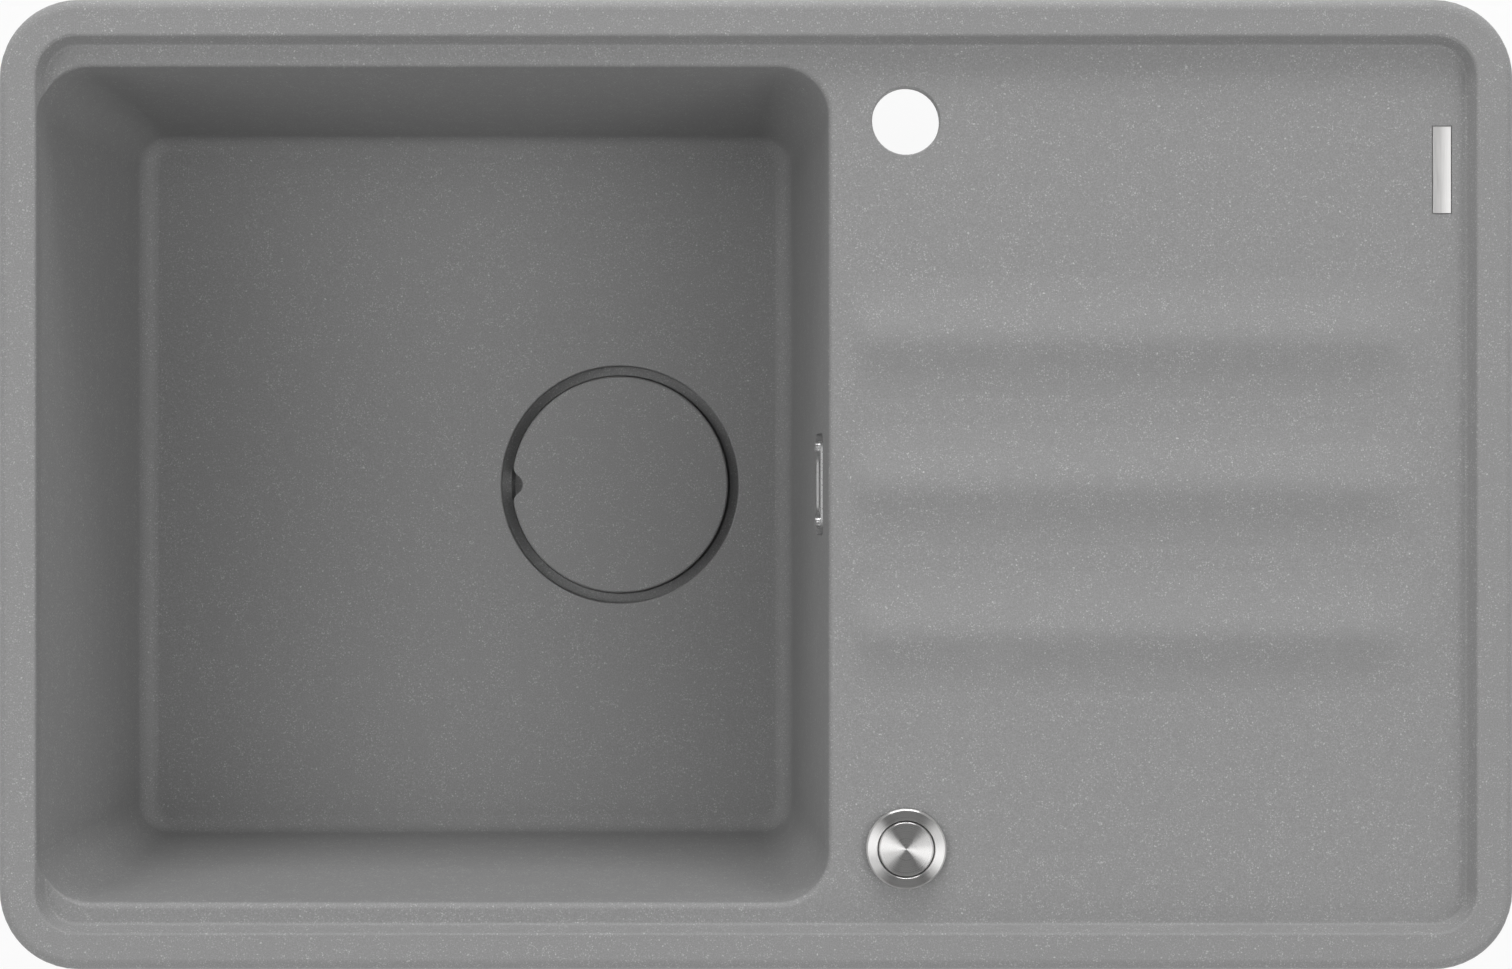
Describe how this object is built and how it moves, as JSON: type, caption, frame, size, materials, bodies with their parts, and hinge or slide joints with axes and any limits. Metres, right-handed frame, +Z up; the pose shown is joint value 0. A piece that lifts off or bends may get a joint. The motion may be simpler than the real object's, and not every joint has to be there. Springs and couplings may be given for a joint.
{
  "type": "kitchen sink",
  "caption": "Inset granite-composite kitchen sink with one deep bowl, a ridged drainer, a covered drain, a push-button strainer waste, an overflow and swing clamps.",
  "frame": {"origin": "centre of the rim's outline, on the plane where the rim rests on the worktop", "axes": "+X along the long side towards the drainer, +Y to the back with the tap hole, +Z up"},
  "size_m": [0.78, 0.5, 0.3116],
  "materials": {
    "composite": "satin",
    "spun_steel": "satin",
    "badge_steel": "satin",
    "chrome_trim": "polished",
    "waste_steel": "satin",
    "zinc_steel": "satin",
    "spring_steel": "satin",
    "brass_insert": "satin",
    "white_plastic": "satin",
    "grey_plastic": "matte",
    "cable_jacket": "satin",
    "black_rubber": "matte"
  },
  "bodies": {
    "sink": {"sink_basin": "composite", "button_bezel": "spun_steel", "badge_plate": "badge_steel", "overflow_frame": "chrome_trim", "overflow_screws": "chrome_trim", "waste_flange": "waste_steel", "waste_screws": "zinc_steel", "clamp_screws": "zinc_steel", "return_spring": "spring_steel", "clamp_inserts": "brass_insert", "waste_body": "white_plastic", "overflow_body": "white_plastic", "overflow_pipe": "white_plastic", "overflow_nuts": "white_plastic", "button_barrel": "white_plastic", "barrel_nut": "white_plastic", "cable_ferrules": "grey_plastic", "control_cable": "cable_jacket", "rim_seal": "black_rubber", "flange_gasket": "black_rubber", "waste_gasket": "black_rubber", "shaft_seal": "black_rubber", "bezel_seal": "black_rubber", "barrel_washer": "black_rubber", "overflow_gasket": "black_rubber", "pipe_seals": "black_rubber"},
    "cover": {"drain_cover": "composite", "cover_feet": "black_rubber"},
    "button": {"button_cap": "spun_steel", "button_rod": "waste_steel"},
    "plug": {"strainer_basket": "waste_steel", "strainer_knob": "waste_steel", "plug_seal": "black_rubber", "lifter_pin": "waste_steel"},
    "crank": {"crank_shaft": "grey_plastic", "crank_arm": "grey_plastic"},
    "core": {"cable_core": "waste_steel"},
    "clamp_1": {"clamp_arm_1": "zinc_steel"},
    "clamp_2": {"clamp_arm_2": "zinc_steel"},
    "clamp_3": {"clamp_arm_3": "zinc_steel"},
    "clamp_4": {"clamp_arm_4": "zinc_steel"},
    "clamp_5": {"clamp_arm_5": "zinc_steel"},
    "clamp_6": {"clamp_arm_6": "zinc_steel"},
    "clamp_7": {"clamp_arm_7": "zinc_steel"},
    "clamp_8": {"clamp_arm_8": "zinc_steel"}
  },
  "joints": [
    {"name": "cover_lift", "type": "slide", "parent": "sink", "child": "cover", "axis": [0, 0, 1], "range_m": [0, 0.22]},
    {"name": "button_press", "type": "slide", "parent": "sink", "child": "button", "axis": [0, 0, -1], "range_m": [0, 0.008], "stiffness_N_per_m": 500, "springref_m": -0.006, "deforming": ["return_spring"]},
    {"name": "plug_lift", "type": "slide", "parent": "sink", "child": "plug", "axis": [0, 0, 1], "range_m": [0, 0.008]},
    {"name": "crank_turn", "type": "hinge", "parent": "sink", "child": "crank", "pos_m": [-0.0585, 0, -0.2506], "axis": [0, 1, 0], "range_deg": [0, 21]},
    {"name": "core_slide", "type": "slide", "parent": "sink", "child": "core", "axis": [-1, 0, 0], "range_m": [0, 0.008]},
    {"name": "clamp_swing_1", "type": "hinge", "parent": "sink", "child": "clamp_1", "pos_m": [-0.29, 0.2305, -0.046], "axis": [0, 0, 1], "range_deg": [0, 90]},
    {"name": "clamp_swing_2", "type": "hinge", "parent": "sink", "child": "clamp_2", "pos_m": [-0.02, 0.2305, -0.046], "axis": [0, 0, 1], "range_deg": [0, 90]},
    {"name": "clamp_swing_3", "type": "hinge", "parent": "sink", "child": "clamp_3", "pos_m": [0.25, 0.2305, -0.046], "axis": [0, 0, 1], "range_deg": [0, 90]},
    {"name": "clamp_swing_4", "type": "hinge", "parent": "sink", "child": "clamp_4", "pos_m": [-0.29, -0.2305, -0.046], "axis": [0, 0, 1], "range_deg": [0, 90]},
    {"name": "clamp_swing_5", "type": "hinge", "parent": "sink", "child": "clamp_5", "pos_m": [-0.02, -0.2305, -0.046], "axis": [0, 0, 1], "range_deg": [0, 90]},
    {"name": "clamp_swing_6", "type": "hinge", "parent": "sink", "child": "clamp_6", "pos_m": [0.25, -0.2305, -0.046], "axis": [0, 0, 1], "range_deg": [0, 90]},
    {"name": "clamp_swing_7", "type": "hinge", "parent": "sink", "child": "clamp_7", "pos_m": [0.3705, 0.12, -0.046], "axis": [0, 0, 1], "range_deg": [0, 90]},
    {"name": "clamp_swing_8", "type": "hinge", "parent": "sink", "child": "clamp_8", "pos_m": [0.3705, -0.12, -0.046], "axis": [0, 0, 1], "range_deg": [0, 90]}
  ],
  "couplings": [
    {"joint": "plug_lift", "follows": "button_press", "ratio": 1},
    {"joint": "crank_turn", "follows": "button_press", "rad_per_m": 45.81},
    {"joint": "core_slide", "follows": "button_press", "ratio": 1}
  ]
}
